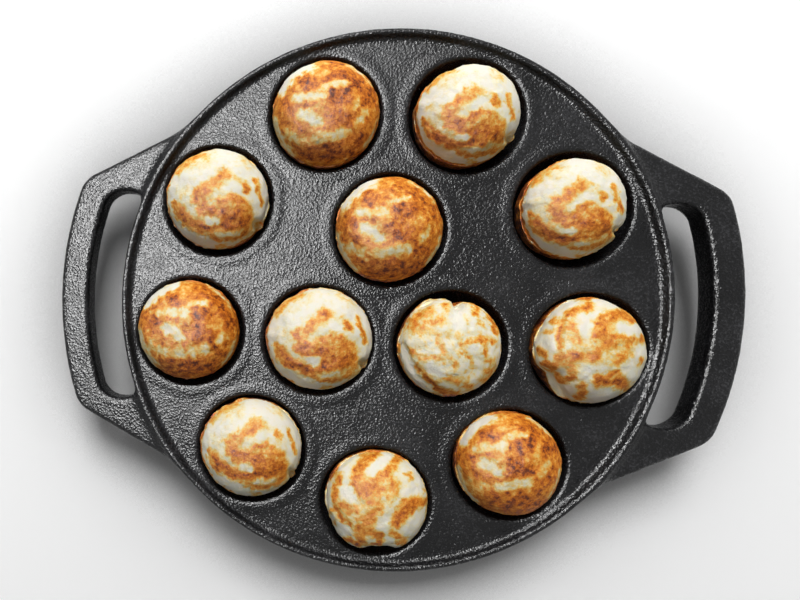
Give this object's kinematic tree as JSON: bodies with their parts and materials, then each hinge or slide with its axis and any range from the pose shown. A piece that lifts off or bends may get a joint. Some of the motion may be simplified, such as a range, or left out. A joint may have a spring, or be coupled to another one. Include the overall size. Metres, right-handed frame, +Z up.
{
  "type": "paniyaram pan",
  "caption": "Round cast-iron pan with hemispherical pits, a low rim and two loop handles, with a round batter dumpling lying loose in each pit.",
  "frame": {"origin": "middle of the pan, on the plane that the cups' feet stand on", "axes": "+X from the middle towards the right handle, +Y towards the top of the pan as it is looked down on, +Z up out of the pits"},
  "size_m": [0.284, 0.2286, 0.0414],
  "materials": {
    "cast_iron": "matt seasoned sand-cast surface",
    "browned_side": "fried crust, brown side up",
    "pale_side": "fried crust, pale side up"
  },
  "bodies": {
    "pan": {"pan_deck": "cast_iron", "rim": "cast_iron", "cup_01": "cast_iron", "cup_02": "cast_iron", "cup_03": "cast_iron", "cup_04": "cast_iron", "cup_05": "cast_iron", "cup_06": "cast_iron", "cup_07": "cast_iron", "cup_08": "cast_iron", "cup_09": "cast_iron", "cup_10": "cast_iron", "cup_11": "cast_iron", "cup_12": "cast_iron", "handle_left": "cast_iron", "handle_right": "cast_iron"},
    "paniyaram_01": {"paniyaram_01": "browned_side"},
    "paniyaram_02": {"paniyaram_02": "pale_side"},
    "paniyaram_03": {"paniyaram_03": "pale_side"},
    "paniyaram_04": {"paniyaram_04": "pale_side"},
    "paniyaram_05": {"paniyaram_05": "browned_side"},
    "paniyaram_06": {"paniyaram_06": "pale_side"},
    "paniyaram_07": {"paniyaram_07": "pale_side"},
    "paniyaram_08": {"paniyaram_08": "browned_side"},
    "paniyaram_09": {"paniyaram_09": "pale_side"},
    "paniyaram_10": {"paniyaram_10": "browned_side"},
    "paniyaram_11": {"paniyaram_11": "pale_side"},
    "paniyaram_12": {"paniyaram_12": "pale_side"}
  },
  "joints": [
    {"name": "paniyaram_01_lift", "type": "slide", "parent": "pan", "child": "paniyaram_01", "axis": [0, 0, 1], "range_m": [0, 0.06]},
    {"name": "paniyaram_02_lift", "type": "slide", "parent": "pan", "child": "paniyaram_02", "axis": [0, 0, 1], "range_m": [0, 0.06]},
    {"name": "paniyaram_03_lift", "type": "slide", "parent": "pan", "child": "paniyaram_03", "axis": [0, 0, 1], "range_m": [0, 0.06]},
    {"name": "paniyaram_04_lift", "type": "slide", "parent": "pan", "child": "paniyaram_04", "axis": [0, 0, 1], "range_m": [0, 0.06]},
    {"name": "paniyaram_05_lift", "type": "slide", "parent": "pan", "child": "paniyaram_05", "axis": [0, 0, 1], "range_m": [0, 0.06]},
    {"name": "paniyaram_06_lift", "type": "slide", "parent": "pan", "child": "paniyaram_06", "axis": [0, 0, 1], "range_m": [0, 0.06]},
    {"name": "paniyaram_07_lift", "type": "slide", "parent": "pan", "child": "paniyaram_07", "axis": [0, 0, 1], "range_m": [0, 0.06]},
    {"name": "paniyaram_08_lift", "type": "slide", "parent": "pan", "child": "paniyaram_08", "axis": [0, 0, 1], "range_m": [0, 0.06]},
    {"name": "paniyaram_09_lift", "type": "slide", "parent": "pan", "child": "paniyaram_09", "axis": [0, 0, 1], "range_m": [0, 0.06]},
    {"name": "paniyaram_10_lift", "type": "slide", "parent": "pan", "child": "paniyaram_10", "axis": [0, 0, 1], "range_m": [0, 0.06]},
    {"name": "paniyaram_11_lift", "type": "slide", "parent": "pan", "child": "paniyaram_11", "axis": [0, 0, 1], "range_m": [0, 0.06]},
    {"name": "paniyaram_12_lift", "type": "slide", "parent": "pan", "child": "paniyaram_12", "axis": [0, 0, 1], "range_m": [0, 0.06]}
  ]
}
